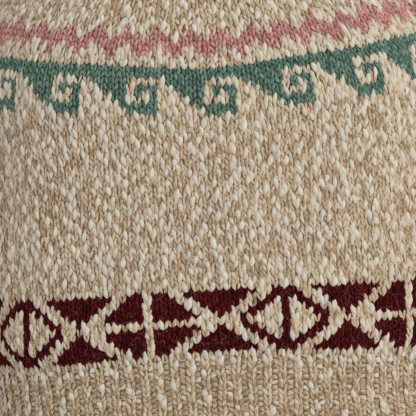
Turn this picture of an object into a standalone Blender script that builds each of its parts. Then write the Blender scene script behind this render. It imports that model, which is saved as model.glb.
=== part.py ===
"""A hollow crewneck sweater with a round yoke, in the shape it has when worn.

Metres, +Z up, front towards -Y, the wearer's left towards +X.
The origin is the middle of the neck, level with its two shoulder points.
Every piece is a wall lofted through sections, which are worked out below from
named sizes and from short tables in millimetres.
"""

import math

import bmesh
import bpy
import numpy as np

MM = 0.001
GARMENT = "crewneck_sweater"

# Cloth: wall, raised ribs, and the gap that is left at every seam
WALL = 3.5 * MM
RIB_WALL = 4.0 * MM
RIB_RISE = 1.3 * MM
SEAM_GAP = 0.3 * MM
SEAM_REACH = 2 * MM

# Stitches round the ribbed bands, where one rib is a knit and a purl stitch
BODY_STITCHES = 170
CUFF_STITCHES = 36
NECK_STITCHES = 92
STITCHES_PER_RIB = 2

# Lower edge of the yoke, from front centre round the wearer's left to back centre
YOKE_EDGE = [
    # place, x, y, z
    ("front centre", 0, -131, -247),
    ("front", 74, -127, -241),
    ("front side", 140, -108, -236),
    ("chest corner", 186, -74, -228),
    ("underarm front", 206.5, -43, -226),
    ("sleeve inner front", 230, -57, -224),
    ("sleeve front", 262, -65, -206),
    ("sleeve outer front", 302, -46, -176),
    ("sleeve outer", 318, 0, -163),
    ("sleeve outer back", 302, 47, -175),
    ("sleeve back", 262, 66, -204),
    ("sleeve inner back", 230, 58, -224),
    ("underarm back", 206.5, 43, -226),
    ("back corner", 187, 76, -228),
    ("back side", 142, 108, -234),
    ("back", 75, 125, -239),
    ("back centre", 0, 129, -240),
]
UNDERARM_X = 206.5 * MM
UNDERARM_HALF = 43 * MM
SLEEVE_OUTER_X = 318 * MM
CURVE_STEPS = 24

# Neck edge of the yoke: an oval that dips at the front
NECK_HALF_WIDTH = 98 * MM
NECK_FRONT = -88 * MM
NECK_BACK = 72 * MM
NECK_DIP_MEAN = -9 * MM
NECK_DIP_FRONT = -30 * MM
NECK_DIP_SIDES = -9 * MM

# How the yoke leaves its lower edge and arrives at the neck
ARM_LEAN = 0.36
NECK_SLOPE_SIDE = 0.94
NECK_SLOPE_FRONT = 0.40
NECK_RISE_SIDE = 0.32
NECK_RISE_FRONT = 0.60
YOKE_REACH = 0.40
MERIDIAN_STEPS = 32

# Body below the yoke: drop is 0 at the yoke and 1 at the hem rib
BODY_SECTIONS = [
    # drop, half width, front depth, back depth
    (0.00, 213, 131, 129),
    (0.40, 215, 131, 128),
    (0.80, 215, 131, 127),
    (0.93, 214, 131, 127),
    (1.00, 209, 127, 123),
]
BODY_ROUNDNESS = 2.3
BODY_BLEND = 0.45
HEM_RIB_TOP = -437 * MM
HEM_BOTTOM = -499 * MM
HEM_DIP = 12 * MM
HEM_DIP_REACH = 209 * MM

# Hem rib: drop is 0 at its top and 1 at the hem
HEM_SECTIONS = [
    # drop, half width, front depth, back depth
    (0.0, 209, 127, 123),
    (0.5, 206, 124, 120),
    (1.0, 208, 125, 121),
]

# Wearer's left sleeve: reach is 0 at the yoke and 1 at the cuff
SLEEVE_SECTIONS = [
    # reach, axis x, axis y, axis z, half width, half depth
    (0.00, 262, 0, -197, 60, 66),
    (0.25, 297, 2, -289, 56, 63),
    (0.50, 330, 2, -383, 52, 57),
    (0.75, 357, -12, -477, 47, 51),
    (0.90, 371, -26, -533, 46, 49),
    (1.00, 379, -36, -567, 36, 38),
]
SLEEVE_BLEND = 0.30
CUFF_LENGTH = 62 * MM
CUFF_DIRECTION = (0.19, -0.29, -0.94)
CUFF_SECTIONS = [
    # reach, half width, half depth
    (0.0, 36, 38),
    (0.4, 33, 35),
    (1.0, 34, 36),
]

# Neckband: stands on the neck edge and leans in
NECKBAND_HEIGHT = 27 * MM
NECKBAND_LEAN = 0.34

# Folds: a ridge, or a trough where the height is negative, from one end to the
# other in shares of the piece's width and length
BODY_FOLDS = {
    "front": [
        # across 1, along 1, across 2, along 2, half width, height
        (0.10, 0.05, 0.17, 0.90, 13, 4.5),
        (0.05, 0.02, 0.09, 0.80, 9, -3.5),
        (0.90, 0.06, 0.84, 0.82, 14, 4.0),
        (0.95, 0.02, 0.92, 0.72, 10, -4.0),
        (0.30, 0.84, 0.72, 0.88, 12, 1.5),
    ],
    "back": [
        (0.11, 0.03, 0.24, 0.85, 15, 5.0),
        (0.06, 0.02, 0.10, 0.78, 10, -4.0),
        (0.88, 0.04, 0.78, 0.90, 16, 5.5),
        (0.95, 0.03, 0.90, 0.75, 10, -4.0),
        (0.38, 0.30, 0.47, 0.95, 22, 4.0),
        (0.62, 0.40, 0.58, 0.95, 20, 3.0),
        (0.22, 0.88, 0.80, 0.84, 12, 3.5),
    ],
}
SLEEVE_FOLDS = [
    (0.16, 0.14, 0.42, 0.06, 10, -3.5),
    (0.58, 0.04, 0.86, 0.16, 11, -3.0),
    (0.20, 0.40, 0.48, 0.48, 8, -4.5),
    (0.14, 0.50, 0.40, 0.56, 8, 4.0),
    (0.22, 0.60, 0.46, 0.62, 9, -4.5),
    (0.52, 0.44, 0.74, 0.36, 10, 3.5),
    (0.10, 0.78, 0.50, 0.84, 8, 4.0),
    (0.46, 0.88, 0.92, 0.82, 8, 4.0),
    (0.05, 0.94, 0.60, 0.92, 7, -3.0),
]

# Points along the curves that the sections are parted on
NECK_STEPS = 720
HALF_OVAL_STEPS = 180
RING_STEPS = 360

# Mesh density
FRONT_COLUMNS = 22
BACK_COLUMNS = 22
SLEEVE_ARC_COLUMNS = 14
UNDERARM_COLUMNS = 3
YOKE_ROWS = 11
BODY_ROWS = 10
SLEEVE_ROWS = 18
RIB_BAND_ROWS = 2

COLOURS = {
    "marl": (0.43, 0.33, 0.23, 1.0),
    "rib": (0.45, 0.35, 0.25, 1.0),
}
YARN_ROUGHNESS = 0.9


def smooth_step(share):
    share = np.clip(share, 0.0, 1.0)
    return share * share * (3.0 - 2.0 * share)


def unit(vectors):
    length = np.linalg.norm(vectors, axis=-1, keepdims=True)
    return vectors / np.maximum(length, 1e-12)


def from_table(rows, column, at):
    """A smooth curve through one column of a table, whose first column is the place."""
    place = np.array([row[0] for row in rows], dtype=float)
    value = np.array([row[column] for row in rows], dtype=float) * MM
    slope = np.gradient(value, place)
    at = np.clip(np.asarray(at, dtype=float), place[0], place[-1])
    index = np.clip(np.searchsorted(place, at, side="right") - 1, 0, len(place) - 2)
    span = place[index + 1] - place[index]
    t = (at - place[index]) / span
    start = (1 + 2 * t) * (1 - t) ** 2 * value[index] + t * (1 - t) ** 2 * span * slope[index]
    end = t * t * (3 - 2 * t) * value[index + 1] + t * t * (t - 1) * span * slope[index + 1]
    return start + end


def at_shares(line, shares):
    """Points at shares of an open line's own length."""
    length = np.concatenate([[0.0], np.cumsum(np.linalg.norm(np.diff(line, axis=0), axis=1))])
    place = np.asarray(shares) * length[-1]
    return np.stack([np.interp(place, length, line[:, axis]) for axis in range(3)], axis=-1)


def evenly(line, count):
    return at_shares(line, np.linspace(0.0, 1.0, count + 1))


def mirrored(line):
    return line[::-1] * np.array([-1.0, 1.0, 1.0])


def yoke_edge_arcs():
    """The lower edge of the yoke as four dense arcs that start at the front centre's right."""
    half = np.array([row[1:] for row in YOKE_EDGE], dtype=float) * MM
    names = [row[0] for row in YOKE_EDGE]
    loop = np.concatenate([half, mirrored(half)[1:-1]])
    count = len(loop)
    dense = []
    for index in range(count):
        before, start, end, after = (loop[(index + step) % count] for step in (-1, 0, 1, 2))
        for t in np.arange(CURVE_STEPS) / CURVE_STEPS:
            bend = 2 * start + (end - before) * t
            bend = bend + (2 * before - 5 * start + 4 * end - after) * t**2
            bend = bend + (3 * start - before - 3 * end + after) * t**3
            dense.append(bend / 2)
    dense = np.array(dense)
    front_corner = names.index("underarm front") * CURVE_STEPS
    back_corner = names.index("underarm back") * CURVE_STEPS
    left = dense[front_corner : back_corner + 1]
    front_half = dense[: front_corner + 1]
    back_half = dense[back_corner : (len(half) - 1) * CURVE_STEPS + 1]
    return {
        "front": np.concatenate([mirrored(front_half)[:-1], front_half]),
        "left": left,
        "back": np.concatenate([back_half, mirrored(back_half)[1:]]),
        "right": mirrored(left),
    }


ARCS = yoke_edge_arcs()


def upward_at_edge(points):
    """The way the cloth runs up from the yoke's lower edge: straight up, or up the arm."""
    spread = (np.abs(points[:, 0]) - UNDERARM_X) / (SLEEVE_OUTER_X - UNDERARM_X)
    lean = ARM_LEAN * smooth_step(spread) * -np.sign(points[:, 0])
    return unit(np.stack([lean, np.zeros(len(points)), np.ones(len(points))], axis=-1))


def neck_angles(shares):
    """Angles from the front centre that part the neck edge into shares of its length."""
    angles = np.linspace(0.0, 2 * math.pi, NECK_STEPS + 1)
    length = np.linalg.norm(np.diff(neck_points(angles), axis=0), axis=1)
    length = np.concatenate([[0.0], np.cumsum(length)])
    return np.interp(shares, length / length[-1], angles)


def neck_points(angles):
    middle = (NECK_FRONT + NECK_BACK) / 2
    depth = (NECK_BACK - NECK_FRONT) / 2
    x = NECK_HALF_WIDTH * np.sin(angles)
    y = middle - depth * np.cos(angles)
    z = NECK_DIP_MEAN + NECK_DIP_FRONT * np.cos(angles) + NECK_DIP_SIDES * np.cos(2 * angles)
    return np.stack([x, y, z], axis=-1)


def neck_arrival(angles):
    """The way the yoke runs where it meets the neckband."""
    x = -NECK_SLOPE_SIDE * np.sin(angles)
    y = NECK_SLOPE_FRONT * np.cos(angles)
    z = NECK_RISE_SIDE + NECK_RISE_FRONT * np.cos(angles) ** 2
    return unit(np.stack([x, y, z], axis=-1))


def yoke_ring():
    """Points of the lower edge from front centre round the left, and each one's share."""
    half_front = FRONT_COLUMNS // 2
    front = evenly(ARCS["front"], FRONT_COLUMNS)
    left = evenly(ARCS["left"], SLEEVE_ARC_COLUMNS)
    back = evenly(ARCS["back"], BACK_COLUMNS)
    right = evenly(ARCS["right"], SLEEVE_ARC_COLUMNS)
    parts = [front[half_front:], left[1:], back[1:], right[1:], front[1:half_front]]
    ring = np.concatenate(parts)
    steps = np.linalg.norm(np.roll(ring, -1, axis=0) - ring, axis=1)
    shares = np.concatenate([[0.0], np.cumsum(steps)[:-1]]) / steps.sum()
    return ring, shares


def yoke_surface():
    """A grid of points, row 0 at the lower edge and the last row at the neck."""
    ring, shares = yoke_ring()
    angles = neck_angles(shares)
    neck = neck_points(angles)
    reach = YOKE_REACH * np.linalg.norm(neck - ring, axis=1, keepdims=True)
    lower = ring + upward_at_edge(ring) * reach
    upper = neck - neck_arrival(angles) * reach
    columns = []
    for p0, p1, p2, p3 in zip(ring, lower, upper, neck):
        t = np.linspace(0.0, 1.0, MERIDIAN_STEPS + 1)[:, None]
        line = (1 - t) ** 3 * p0 + 3 * t * (1 - t) ** 2 * p1 + 3 * t**2 * (1 - t) * p2 + t**3 * p3
        columns.append(evenly(line, YOKE_ROWS))
    return np.stack(columns, axis=1), angles


def oval_half(half_width, depth, side):
    """Half of a body section, from the wearer's right side to the left."""
    angle = np.linspace(-math.pi / 2, math.pi / 2, HALF_OVAL_STEPS + 1)
    power = 2.0 / BODY_ROUNDNESS
    x = half_width * np.sign(angle) * np.abs(np.sin(angle)) ** power
    y = side * depth * np.abs(np.cos(angle)) ** power
    return np.stack([x, y, np.zeros_like(x)], axis=-1)


def body_shares():
    """Column places across a body panel, with one at each end of the underarm."""
    return with_underarm_shares(ARCS["front"], FRONT_COLUMNS)


def with_underarm_shares(arc, columns):
    """Places along half an underarm, an arc of the yoke's edge and half an underarm."""
    length = np.linalg.norm(np.diff(arc, axis=0), axis=1).sum()
    whole = length + 2 * UNDERARM_HALF
    first = np.linspace(0.0, UNDERARM_HALF, UNDERARM_COLUMNS + 1)
    middle = np.linspace(UNDERARM_HALF, UNDERARM_HALF + length, columns + 1)[1:]
    last = np.linspace(UNDERARM_HALF + length, whole, UNDERARM_COLUMNS + 1)[1:]
    return np.concatenate([first, middle, last]) / whole


def body_top(panel):
    """The top of a body panel: its arc of the yoke edge and half of each underarm."""
    arc = ARCS["front"] if panel == "front" else mirrored_back()
    right_side = np.array([[-UNDERARM_X, 0.0, arc[0, 2]]])
    left_side = np.array([[UNDERARM_X, 0.0, arc[-1, 2]]])
    return np.concatenate([right_side, arc, left_side])


def mirrored_back():
    """The back arc run from the wearer's right to the left."""
    return ARCS["back"][::-1]


def hem_dip(x):
    """How far the hem hangs below its middle, out towards the sides."""
    return HEM_DIP * smooth_step(np.abs(x) / HEM_DIP_REACH)


def body_surface(panel):
    """A grid of points, row 0 at the yoke and the last row at the hem rib."""
    side = -1.0 if panel == "front" else 1.0
    column = 2 if panel == "front" else 3
    shares = body_shares()
    top = at_shares(body_top(panel), shares)
    rows = []
    for drop in np.linspace(0.0, 1.0, BODY_ROWS + 1):
        width = from_table(BODY_SECTIONS, 1, drop)
        depth = from_table(BODY_SECTIONS, column, drop)
        section = at_shares(oval_half(width, depth, side), shares)
        blend = smooth_step(drop / BODY_BLEND)
        row = top * (1 - blend) + section * blend
        row[:, 2] = top[:, 2] + (HEM_RIB_TOP - hem_dip(row[:, 0]) - top[:, 2]) * drop
        rows.append(row)
    grid = folded(np.stack(rows), BODY_FOLDS[panel], closed=False)
    half_gap = SEAM_GAP / 2
    drops = np.linspace(0.0, 1.0, BODY_ROWS + 1)
    near_top = 1 - smooth_step(drops / BODY_BLEND)
    at_underarm = np.abs(top[:, 1]) < UNDERARM_HALF + SEAM_REACH
    grid[:, :, 0] -= np.sign(grid[:, :, 0]) * half_gap * at_underarm * near_top[:, None]
    grid[:, [0, -1], 1] = side * half_gap
    grid[0, :, 2] -= half_gap
    grid[-1, :, 2] += half_gap
    return grid


def sleeve_loop():
    """The top of the left sleeve, from the middle of the underarm round the front."""
    arc = ARCS["left"]
    middle = np.array([[UNDERARM_X, 0.0, arc[0, 2]]])
    return np.concatenate([middle, arc, middle])


def sleeve_shares():
    """Column places round the sleeve, with one at each end of the underarm."""
    return with_underarm_shares(ARCS["left"], SLEEVE_ARC_COLUMNS)[:-1]


def sleeve_frame(reach):
    """Centre of a sleeve section, its outward and forward directions, and its half sizes."""
    step = 0.01
    centre = np.array([from_table(SLEEVE_SECTIONS, column, reach) for column in (1, 2, 3)])
    low = max(reach - step, 0.0)
    high = min(reach + step, 1.0)
    ends = [
        np.array([from_table(SLEEVE_SECTIONS, column, place) for column in (1, 2, 3)])
        for place in (low, high)
    ]
    along = unit(ends[1] - ends[0])
    outward = unit(np.array([1.0, 0.0, 0.0]) - along * along[0])
    forward = np.cross(outward, along)
    half_width = from_table(SLEEVE_SECTIONS, 4, reach)
    half_depth = from_table(SLEEVE_SECTIONS, 5, reach)
    return centre, along, outward, forward, half_width, half_depth


def round_section(centre, outward, forward, half_width, half_depth, shares):
    """An oval ring of points that starts at its inner side and runs round the front."""
    angle = np.linspace(0.0, 2 * math.pi, RING_STEPS + 1)[:, None]
    ring = -outward * np.cos(angle) * half_width + forward * np.sin(angle) * half_depth
    return centre + at_shares(ring, shares)


def sleeve_surface():
    """A grid of points, row 0 at the yoke and the last row at the cuff."""
    shares = sleeve_shares()
    top = at_shares(sleeve_loop(), shares)
    start = sleeve_frame(0.0)[0]
    rows = []
    for reach in np.linspace(0.0, 1.0, SLEEVE_ROWS + 1):
        centre, _, outward, forward, half_width, half_depth = sleeve_frame(reach)
        forward = forward * np.sign(-forward[1])
        section = round_section(centre, outward, forward, half_width, half_depth, shares)
        blend = smooth_step(reach / SLEEVE_BLEND)
        rows.append((top + centre - start) * (1 - blend) + section * blend)
    grid = folded(np.stack(rows), SLEEVE_FOLDS, closed=True)
    inner = top[:, 0] < UNDERARM_X + SEAM_REACH
    grid[0, inner, 0] += SEAM_GAP / 2
    grid[0, :, 2] -= SEAM_GAP / 2
    return grid


def yoke_edge_normals():
    """Outward normals at the yoke's lower edge, in the order of its ring."""
    ring, _ = yoke_ring()
    across = np.roll(ring, -1, axis=0) - np.roll(ring, 1, axis=0)
    return unit(np.cross(across, upward_at_edge(ring)))


def with_underarm(arc_normals, underarm_normals):
    """Normals round the top of a body panel or a sleeve: its arc and both underarm stretches."""
    first, last = underarm_normals
    arc = arc_normals.copy()
    arc[0] = unit(arc_normals[1] + first)
    arc[-1] = unit(arc_normals[-2] + last)
    before = np.repeat([first], UNDERARM_COLUMNS, axis=0)
    after = np.repeat([last], UNDERARM_COLUMNS, axis=0)
    return np.concatenate([before, arc, after])


def body_edge_normals(panel):
    normals = yoke_edge_normals()
    half_front = FRONT_COLUMNS // 2
    if panel == "front":
        arc = np.concatenate([normals[-half_front:], normals[: half_front + 1]])
    else:
        start = half_front + SLEEVE_ARC_COLUMNS
        arc = normals[start : start + BACK_COLUMNS + 1][::-1]
    return with_underarm(arc, (np.array([-1.0, 0.0, 0.0]), np.array([1.0, 0.0, 0.0])))


def sleeve_edge_normals():
    start = FRONT_COLUMNS // 2
    arc = yoke_edge_normals()[start : start + SLEEVE_ARC_COLUMNS + 1]
    inward = np.array([-1.0, 0.0, 0.0])
    return with_underarm(arc, (inward, inward))[:-1]


def grid_normals(grid, closed):
    """Unit normals of a grid of points, on the side that faces out of the garment."""
    if closed:
        across = np.roll(grid, -1, axis=1) - np.roll(grid, 1, axis=1)
    else:
        across = np.gradient(grid, axis=1)
    along = np.gradient(grid, axis=0)
    normals = unit(np.cross(across, along))
    middle = grid.mean(axis=1, keepdims=True)
    facing = ((grid - middle) * normals).sum()
    return normals if facing > 0 else -normals


def folded(grid, folds, closed):
    """The grid with its ridges and troughs, which fade out towards the piece's ends."""
    normals = grid_normals(grid, closed)
    width = np.linalg.norm(np.diff(grid[len(grid) // 2], axis=0), axis=1).sum()
    length = np.linalg.norm(np.diff(grid.mean(axis=1), axis=0), axis=1).sum()
    steps = np.linalg.norm(np.diff(grid[len(grid) // 2], axis=0), axis=1)
    across = np.concatenate([[0.0], np.cumsum(steps)]) / width
    if closed:
        across = across * (len(across) - 1) / len(across)
    along = np.linspace(0.0, 1.0, len(grid))
    place = np.stack(np.meshgrid(across * width, along * length), axis=-1)
    rise = np.zeros(place.shape[:2])
    for across_1, along_1, across_2, along_2, half_width, height in folds:
        start = np.array([across_1 * width, along_1 * length])
        end = np.array([across_2 * width, along_2 * length])
        run = end - start
        share = np.clip(((place - start) @ run) / (run @ run), 0.0, 1.0)
        off = np.linalg.norm(place - start - share[..., None] * run, axis=-1)
        swell = np.sqrt(np.clip(np.sin(math.pi * (0.1 + 0.8 * share)), 0.0, 1.0))
        rise += height * MM * swell * np.exp(-((off / (half_width * MM)) ** 2))
    fade = smooth_step(along / 0.08) * smooth_step((1 - along) / 0.06)
    return grid + normals * (rise * fade[:, None])[..., None]


def rib_wave(count):
    """Height of the ribs at each column: up on a knit wale and down on a purl wale."""
    return np.where(np.arange(count) % STITCHES_PER_RIB == 0, RIB_RISE, -RIB_RISE / 2)


def hem_surface():
    """The hem rib's rings, from the wearer's right side round the front."""
    rows = []
    for drop in np.linspace(0.0, 1.0, RIB_BAND_ROWS + 1):
        width, front, back = (from_table(HEM_SECTIONS, column, drop) for column in (1, 2, 3))
        front_half = oval_half(width, front, -1.0)
        back_half = oval_half(width, back, 1.0)[::-1]
        row = evenly(np.concatenate([front_half, back_half[1:]]), BODY_STITCHES)[:-1]
        row[:, 2] = HEM_RIB_TOP + (HEM_BOTTOM - HEM_RIB_TOP) * drop - hem_dip(row[:, 0])
        rows.append(row)
    grid = np.stack(rows)
    grid[0, :, 2] -= SEAM_GAP / 2
    return grid


def cuff_surface():
    centre, _, outward, forward, _, _ = sleeve_frame(1.0)
    forward = forward * np.sign(-forward[1])
    along = unit(np.array(CUFF_DIRECTION))
    shares = np.arange(CUFF_STITCHES) / CUFF_STITCHES
    rows = []
    for reach in np.linspace(0.0, 1.0, RIB_BAND_ROWS + 1):
        half_width = from_table(CUFF_SECTIONS, 1, reach)
        half_depth = from_table(CUFF_SECTIONS, 2, reach)
        place = centre + along * (SEAM_GAP + reach * CUFF_LENGTH)
        rows.append(round_section(place, outward, forward, half_width, half_depth, shares))
    return np.stack(rows)


def neckband_surface():
    angles = neck_angles(np.arange(NECK_STITCHES) / NECK_STITCHES)
    base = neck_points(angles)
    flat = np.stack([-np.sin(angles), np.cos(angles), np.zeros_like(angles)], axis=-1)
    upward = unit(flat * NECKBAND_LEAN + np.array([0.0, 0.0, 1.0]))
    rows = []
    for reach in np.linspace(0.0, 1.0, RIB_BAND_ROWS + 1):
        rows.append(base + upward * (SEAM_GAP + NECKBAND_HEIGHT * reach))
    return np.stack(rows)


def wall_object(name, outer, inner, closed, colour, collection):
    """A closed wall between an outer and an inner grid of points."""
    rows, columns = outer.shape[:2]
    mesh = bmesh.new()
    sides = [[[mesh.verts.new(point) for point in row] for row in grid] for grid in (outer, inner)]
    ends = columns if closed else columns - 1
    for row in range(rows - 1):
        for column in range(ends):
            after = (column + 1) % columns
            for side in sides:
                above, below = side[row], side[row + 1]
                mesh.faces.new((above[column], above[after], below[after], below[column]))
    for row in (0, rows - 1):
        out, within = sides[0][row], sides[1][row]
        for column in range(ends):
            after = (column + 1) % columns
            mesh.faces.new((out[column], out[after], within[after], within[column]))
    for column in () if closed else (0, columns - 1):
        for row in range(rows - 1):
            corners = [
                sides[0][row][column],
                sides[0][row + 1][column],
                sides[1][row + 1][column],
                sides[1][row][column],
            ]
            mesh.faces.new(corners)
    bmesh.ops.recalc_face_normals(mesh, faces=mesh.faces)
    data = bpy.data.meshes.new(name)
    mesh.to_mesh(data)
    mesh.free()
    data.materials.append(yarn(colour))
    data.shade_smooth()
    data.set_sharp_from_angle(angle=math.radians(50))
    piece = bpy.data.objects.new(name, data)
    collection.objects.link(piece)
    return piece


def yarn(colour):
    material = bpy.data.materials.get(colour)
    if material is None:
        material = bpy.data.materials.new(colour)
        material.use_nodes = True
        shader = material.node_tree.nodes["Principled BSDF"]
        shader.inputs["Base Color"].default_value = COLOURS[colour]
        shader.inputs["Roughness"].default_value = YARN_ROUGHNESS
        shader.inputs["Metallic"].default_value = 0.0
    return material


def plain_wall(name, grid, closed, collection, edge_normals):
    """A wall whose top or lower edge turns in along the normals that its neighbour shares."""
    normals = grid_normals(grid, closed)
    normals[0] = edge_normals
    return wall_object(name, grid, grid - normals * WALL, closed, "marl", collection)


def ribbed_wall(name, grid, collection):
    normals = grid_normals(grid, closed=True)
    wave = rib_wave(grid.shape[1])[None, :, None]
    inner = grid - normals * RIB_WALL
    return wall_object(name, grid + normals * wave, inner, True, "rib", collection)


def flipped(grid):
    """The mirror image of a left piece, for the wearer's right."""
    return grid * np.array([-1.0, 1.0, 1.0])


def build():
    for old in list(bpy.data.objects):
        bpy.data.objects.remove(old, do_unlink=True)
    collection = bpy.data.collections.new(GARMENT)
    bpy.context.scene.collection.children.link(collection)

    yoke, _ = yoke_surface()
    yoke[0, :, 2] += SEAM_GAP / 2
    plain_wall("yoke", yoke, True, collection, yoke_edge_normals())
    for panel in ("front", "back"):
        surface = body_surface(panel)
        plain_wall("body_" + panel, surface, False, collection, body_edge_normals(panel))
    sleeve = sleeve_surface()
    inward = sleeve_edge_normals()
    plain_wall("sleeve_left", sleeve, True, collection, inward)
    plain_wall("sleeve_right", flipped(sleeve), True, collection, flipped(inward))
    cuff = cuff_surface()
    ribbed_wall("cuff_left", cuff, collection)
    ribbed_wall("cuff_right", flipped(cuff), collection)
    ribbed_wall("hem_rib", hem_surface(), collection)
    ribbed_wall("neckband", neckband_surface(), collection)


build()
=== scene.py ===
"""The look of the hand-knitted crewneck sweater: every stitch is its own small mesh.

Metres, +Z up, front towards -Y, the wearer's left towards +X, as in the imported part.
The form's sizes and formulas repeat those of the part, so the stitches lie on its walls.
"""

import math
from functools import partial

import bpy
import numpy as np
from mathutils import Matrix, Vector


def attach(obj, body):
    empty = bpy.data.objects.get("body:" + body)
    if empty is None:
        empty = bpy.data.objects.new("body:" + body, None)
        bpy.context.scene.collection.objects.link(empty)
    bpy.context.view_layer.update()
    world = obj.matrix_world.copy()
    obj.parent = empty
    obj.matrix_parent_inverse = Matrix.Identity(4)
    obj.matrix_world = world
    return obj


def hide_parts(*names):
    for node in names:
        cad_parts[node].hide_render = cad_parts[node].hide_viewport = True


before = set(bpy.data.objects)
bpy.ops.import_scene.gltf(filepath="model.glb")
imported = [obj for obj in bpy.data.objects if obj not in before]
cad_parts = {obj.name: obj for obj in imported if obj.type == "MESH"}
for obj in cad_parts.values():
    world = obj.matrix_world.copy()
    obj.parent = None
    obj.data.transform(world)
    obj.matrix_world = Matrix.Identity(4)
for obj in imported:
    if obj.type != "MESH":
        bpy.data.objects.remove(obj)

MM = 0.001

# Form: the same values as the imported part
WALL = 3.5 * MM
RIB_RISE = 1.3 * MM
YOKE_EDGE = [
    # x, y, z from front centre round the wearer's left to back centre
    (0, -131, -247),
    (74, -127, -241),
    (140, -108, -236),
    (186, -74, -228),
    (206.5, -43, -226),
    (230, -57, -224),
    (262, -65, -206),
    (302, -46, -176),
    (318, 0, -163),
    (302, 47, -175),
    (262, 66, -204),
    (230, 58, -224),
    (206.5, 43, -226),
    (187, 76, -228),
    (142, 108, -234),
    (75, 125, -239),
    (0, 129, -240),
]
FRONT_CORNER = 4
BACK_CORNER = 12
UNDERARM_X = 206.5 * MM
SLEEVE_OUTER_X = 318 * MM
CURVE_STEPS = 24
RING_POINTS = 361
NECK_RING_POINTS = 721
MERIDIAN_POINTS = 33
SLOPE_STEP = 0.01
NECK_HALF_WIDTH = 98 * MM
NECK_FRONT = -88 * MM
NECK_BACK = 72 * MM
NECK_DIPS = (-9 * MM, -30 * MM, -9 * MM)
ARM_LEAN = 0.36
NECK_SLOPE_SIDE = 0.94
NECK_SLOPE_FRONT = 0.40
NECK_RISE_SIDE = 0.32
NECK_RISE_FRONT = 0.60
YOKE_REACH = 0.40
BODY_SECTIONS = [
    # drop, half width, front depth, back depth
    (0.00, 213, 131, 129),
    (0.40, 215, 131, 128),
    (0.80, 215, 131, 127),
    (0.93, 214, 131, 127),
    (1.00, 209, 127, 123),
]
BODY_ROUNDNESS = 2.3
BODY_BLEND = 0.45
HEM_RIB_TOP = -437 * MM
HEM_BOTTOM = -499 * MM
HEM_DIP = 12 * MM
HEM_DIP_REACH = 209 * MM
HEM_SECTIONS = [
    # drop, half width, front depth, back depth
    (0.0, 209, 127, 123),
    (0.5, 206, 124, 120),
    (1.0, 208, 125, 121),
]
SLEEVE_SECTIONS = [
    # reach, axis x, axis y, axis z, half width, half depth
    (0.00, 262, 0, -197, 60, 66),
    (0.25, 297, 2, -289, 56, 63),
    (0.50, 330, 2, -383, 52, 57),
    (0.75, 357, -12, -477, 47, 51),
    (0.90, 371, -26, -533, 46, 49),
    (1.00, 379, -36, -567, 36, 38),
]
SLEEVE_BLEND = 0.30
CUFF_LENGTH = 62 * MM
CUFF_DIRECTION = (0.19, -0.29, -0.94)
CUFF_SECTIONS = [
    # reach, half width, half depth
    (0.0, 36, 38),
    (0.4, 33, 35),
    (1.0, 34, 36),
]
NECKBAND_HEIGHT = 27 * MM
NECKBAND_LEAN = 0.34
FOLD_END = 0.1
FOLD_FADE_TOP = 0.08
FOLD_FADE_FOOT = 0.06
BODY_FOLDS = {
    "front": [
        # across 1, along 1, across 2, along 2, half width, height
        (0.10, 0.05, 0.17, 0.90, 13, 4.5),
        (0.05, 0.02, 0.09, 0.80, 9, -3.5),
        (0.90, 0.06, 0.84, 0.82, 14, 4.0),
        (0.95, 0.02, 0.92, 0.72, 10, -4.0),
        (0.30, 0.84, 0.72, 0.88, 12, 1.5),
    ],
    "back": [
        (0.11, 0.03, 0.24, 0.85, 15, 5.0),
        (0.06, 0.02, 0.10, 0.78, 10, -4.0),
        (0.88, 0.04, 0.78, 0.90, 16, 5.5),
        (0.95, 0.03, 0.90, 0.75, 10, -4.0),
        (0.38, 0.30, 0.47, 0.95, 22, 4.0),
        (0.62, 0.40, 0.58, 0.95, 20, 3.0),
        (0.22, 0.88, 0.80, 0.84, 12, 3.5),
    ],
}
SLEEVE_FOLDS = [
    (0.16, 0.14, 0.42, 0.06, 10, -3.5),
    (0.58, 0.04, 0.86, 0.16, 11, -3.0),
    (0.20, 0.40, 0.48, 0.48, 8, -4.5),
    (0.14, 0.50, 0.40, 0.56, 8, 4.0),
    (0.22, 0.60, 0.46, 0.62, 9, -4.5),
    (0.52, 0.44, 0.74, 0.36, 10, 3.5),
    (0.10, 0.78, 0.50, 0.84, 8, 4.0),
    (0.46, 0.88, 0.92, 0.82, 8, 4.0),
    (0.05, 0.94, 0.60, 0.92, 7, -3.0),
]

# Stitch counts
YOKE_ROW_HEIGHTS = [
    # rows, height in millimetres at the front centre
    (2, 4.70),
    (8, 4.90),
    (2, 3.90),
    (5, 4.85),
    (27, 4.58),
]
BODY_ROW_HEIGHTS = [
    # rows down from the yoke, height in millimetres at the front centre
    (30, 4.45),
    (11, 4.64),
    (1, 5.70),
]
YOKE_ROWS = 44
YOKE_COUNTS = [
    # first row, stitches round
    (0, 250),
    (12, 224),
    (17, 200),
    (23, 176),
    (29, 152),
    (34, 128),
    (39, 108),
    (43, 96),
]
BODY_STITCHES = 85
BODY_ROWS = 42
SLEEVE_TOP_STITCHES = 66
SLEEVE_END_STITCHES = 46
SLEEVE_ROWS = 88
CUFF_STITCHES = 36
HEM_STITCHES = 170
HEM_ROWS = 14
CUFF_ROWS = 14
NECK_STITCHES = 92
NECK_ROWS = 6
HEM_PHASE = 0.34

# Charts
WAVE_CHART = [
    "GGGGGGGGGG",
    "GGGGGGGGGG",
    "GGGGG.....",
    ".GGGG.GGG.",
    "..GGG.G.G.",
    "...GG...G.",
    "....GGGGG.",
    ".....GGGG.",
]
WAVE_FIRST_ROW = 2
WAVE_CENTRE_COLUMN = 5
CHEVRON_OFFSETS = (0, 1, 2, 1)
CHEVRON_FIRST_ROW = 12
CHEVRON_THICKNESS = 3
DIAMOND_FIRST_ROW = 1
DIAMOND_ROWS = 11
DIAMOND_PERIOD = 34
DIAMOND_CENTRE_COLUMN = 9
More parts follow.
